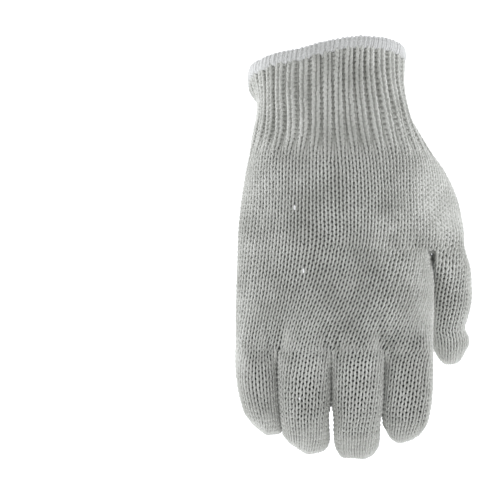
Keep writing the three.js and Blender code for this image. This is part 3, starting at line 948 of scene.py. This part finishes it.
class GLOVE_OT_hand(bpy.types.Operator):
    """Knit the hand above and below the thumb's crotch"""

    bl_idname = "glove.hand"
    bl_label = "Hand and lower palm"

    def execute(self, context):
        yarn = context.scene.glove_yarn
        upper, lower = (HAND_WALES, HAND_COURSES), (PALM_WALES, PALM_COURSES)
        for seed, node, rows, span, gauge, below, ribs in (
            (2, "hand_body", HAND, (CUFF_BOTTOM, THUMB_CROTCH), upper, above_thumb(), cuff_ribs),
            (3, "lower_palm", PALM, (THUMB_CROTCH, FINGER_CROTCH), lower, above_fingers(), None),
        ):
            heights = heights_between(span[0] + PAST, span[1] - PAST)
            rings = hand_rings(rows, heights, below)
            shapes = rings
            if node == "lower_palm":
                shapes = joined(rings, hand_ring(THUMB_CROTCH), span[0] - heights)
            face = Face(cut(rings, guided(rings, heights, gauge[0]), shapes), heights)
            mesh = knit(seed, HAND_SEED, face, gauge, span, hand_fullness, yarn, ribs=ribs)
            dress(node, "string_knit", with_slub(mesh, face, node), *string_materials(yarn))
        return {"FINISHED"}


class GLOVE_OT_digits(bpy.types.Operator):
    """Knit the fingers and the thumb, closed at their ends"""

    bl_idname = "glove.digits"
    bl_label = "Fingers and thumb"

    def execute(self, context):
        yarn = context.scene.glove_yarn
        for seed, (name, rows) in enumerate(DIGITS.items(), DIGIT_SEED):
            courses, wales, filled, soon, flow, *touches = DIGIT_KNIT[name]
            crotch, parent_wales, sides_leave = FINGER_CROTCH, PALM_WALES, FINGER_EDGE
            if name == "thumb":
                crotch, parent_wales, sides_leave = THUMB_CROTCH, HAND_WALES, THUMB_EDGE
            parent = hand_ring(crotch)
            length = rows["drop"][-1]
            drops = heights_between(-PAST, length - TIP_GAP)
            plain = digit_rings(name, drops)
            shapes = joined(plain, parent, drops, sides_leave)
            above = cut(parent[None], guided(parent[None], np.array([float(crotch)]), parent_wales))[0]
            edge = np.argmax(above[:, 0])
            middle = (rows["left"][0] + rows["right"][0]) / 2
            samples = middle + PALM_SAMPLE * np.array([-1, 0, 1])
            before, first, after = np.interp(samples, above[:edge, 0], np.arange(edge) / GRID)
            around = np.linalg.norm(np.diff(digit_rings(name, np.zeros(1))[0], axis=0), axis=1).sum()
            crowd = np.clip(1 - 2 * PALM_SAMPLE / (after - before) * wales / around, 0, CROWD_MOST)
            below = np.maximum(drops, 0)[:, None]
            flown = flow * (1 - np.exp(-below / FLOW_LENGTH)) + TWIST * drops[:, None]
            share = (np.arange(wales * GRID) / GRID + wales / 4 - first - flown) / wales
            crowd = crowd * (1 - smooth(drops, 0, CROWD_LENGTH))[:, None]
            share = share - crowd * np.sin(2 * math.pi * (share - 0.25)) / (2 * math.pi)
            points = cut(plain, share, shapes)
            mirror = cut(plain[-1:], -share[-1:], shapes[-1:])[0]
            fold = (points[-1] + mirror) / 2
            ends = [points[-1] * (1 - way) + fold * way - [0, 0, fall] for way, fall in TUCKS]
            levels = np.append(drops, length + np.array(TUCK_ENDS))
            face = Face(np.vstack((points, np.array(ends))), levels)
            plump = lambda drop: 1 + TIP_FULLNESS * smooth(drop, filled, filled + soon)
            loose = LITTLE_SLACK if name == "little_finger" else FINGER_SLACK
            slack_sides = [loose if touch == NOT_AT_ALL else PRESSED_SLACK for touch in touches]
            gauge, span = (wales, courses), (0, length + TIP_PAST)
            mesh = knit(seed, seed, face, gauge, span, plump, yarn, slack_sides)
            dress(name, "string_knit", with_slub(mesh, face, name), *string_materials(yarn))
        return {"FINISHED"}


class GLOVE_OT_studio(bpy.types.Operator):
    """Set up the pale studio, its soft lights and the camera"""

    bl_idname = "glove.studio"
    bl_label = "Studio"

    def execute(self, context):
        scene, studio = context.scene, context.scene.glove_studio
        scene.view_settings.view_transform = "Standard"
        world = bpy.data.worlds.new("studio")
        world.use_nodes = True
        sky = world.node_tree.nodes["Background"]
        sky.inputs["Color"].default_value = linear("#ffffff")
        sky.inputs["Strength"].default_value = studio.ambient
        scene.world = world
        front, start, radius, level, top, half_width = PAPER.values()
        angles = np.linspace(0, math.pi / 2, BEND_POINTS)
        bend = [(start + radius * math.sin(a), level + radius * (1 - math.cos(a))) for a in angles]
        profile = [(front, level), *bend, (start + radius, top)]
        points = np.array([(x, y, z) for y, z in profile for x in (-half_width, half_width)])
        faces = np.array([(2 * i, 2 * i + 1, 2 * i + 3, 2 * i + 2) for i in range(len(profile) - 1)])
        floor = new_mesh("paper_floor", points, faces)
        # A pale, even ground that bends up behind the glove
        paper, tree = empty_material("matt_white_paper")
        finish_material(tree, {"Base Color": linear("#fafafa"), "Roughness": 0.9})
        floor.data.materials.append(paper)
        for name, spot, aim, size, power in (
            ("left_softbox", (-0.9, -0.1, 0.35), (0, 0, -0.1), 0.9, studio.side_power),
            ("right_softbox", (0.95, -0.1, 0.35), (0, 0, -0.1), 0.9, studio.side_power),
            ("backdrop_light", (0, 1.0, 1.1), (0, 1.6, -0.2), 1.6, studio.backdrop_power),
        ):
            light = bpy.data.lights.new(name, "AREA")
            light.shape, light.size, light.energy, light.color = "SQUARE", size, power, LIGHT_COLOUR
            lamp = bpy.data.objects.new(name, light)
            lamp.location = spot
            lamp.rotation_euler = (Vector(aim) - Vector(spot)).to_track_quat("-Z", "Y").to_euler()
            scene.collection.objects.link(lamp)
        lens = bpy.data.cameras.new("camera")
        lens.sensor_width = SENSOR
        lens.lens = SENSOR * studio.distance / VIEW_WIDTH
        camera = bpy.data.objects.new("camera", lens)
        camera.location = (CAMERA_X, -studio.distance, CAMERA_Z)
        camera.rotation_euler = (math.pi / 2, 0, 0)
        scene.collection.objects.link(camera)
        scene.camera = camera
        return {"FINISHED"}


class GLOVE_PT_panel(bpy.types.Panel):
    """Lists the glove's settings and pieces"""

    bl_idname = "GLOVE_PT_panel"
    bl_label = "Knitted glove"
    bl_space_type = "VIEW_3D"
    bl_region_type = "UI"
    bl_category = "Glove"

    def draw(self, context):
        for group in (context.scene.glove_yarn, context.scene.glove_studio):
            for name in group.__annotations__:
                self.layout.prop(group, name)
        for operator in OPERATORS:
            self.layout.operator(operator.bl_idname)


OPERATORS = (GLOVE_OT_hem, GLOVE_OT_cuff, GLOVE_OT_hand, GLOVE_OT_digits, GLOVE_OT_studio)
CLASSES = (GloveYarn, GloveStudio, *OPERATORS, GLOVE_PT_panel)


def register():
    for cls in CLASSES:
        bpy.utils.register_class(cls)
    bpy.types.Scene.glove_yarn = PointerProperty(type=GloveYarn)
    bpy.types.Scene.glove_studio = PointerProperty(type=GloveStudio)


def unregister():
    del bpy.types.Scene.glove_studio
    del bpy.types.Scene.glove_yarn
    for cls in reversed(CLASSES):
        bpy.utils.unregister_class(cls)


def main():
    register()
    for operator in OPERATORS:
        group, name = operator.bl_idname.split(".")
        getattr(getattr(bpy.ops, group), name)()


if __name__ == "__main__":
    main()
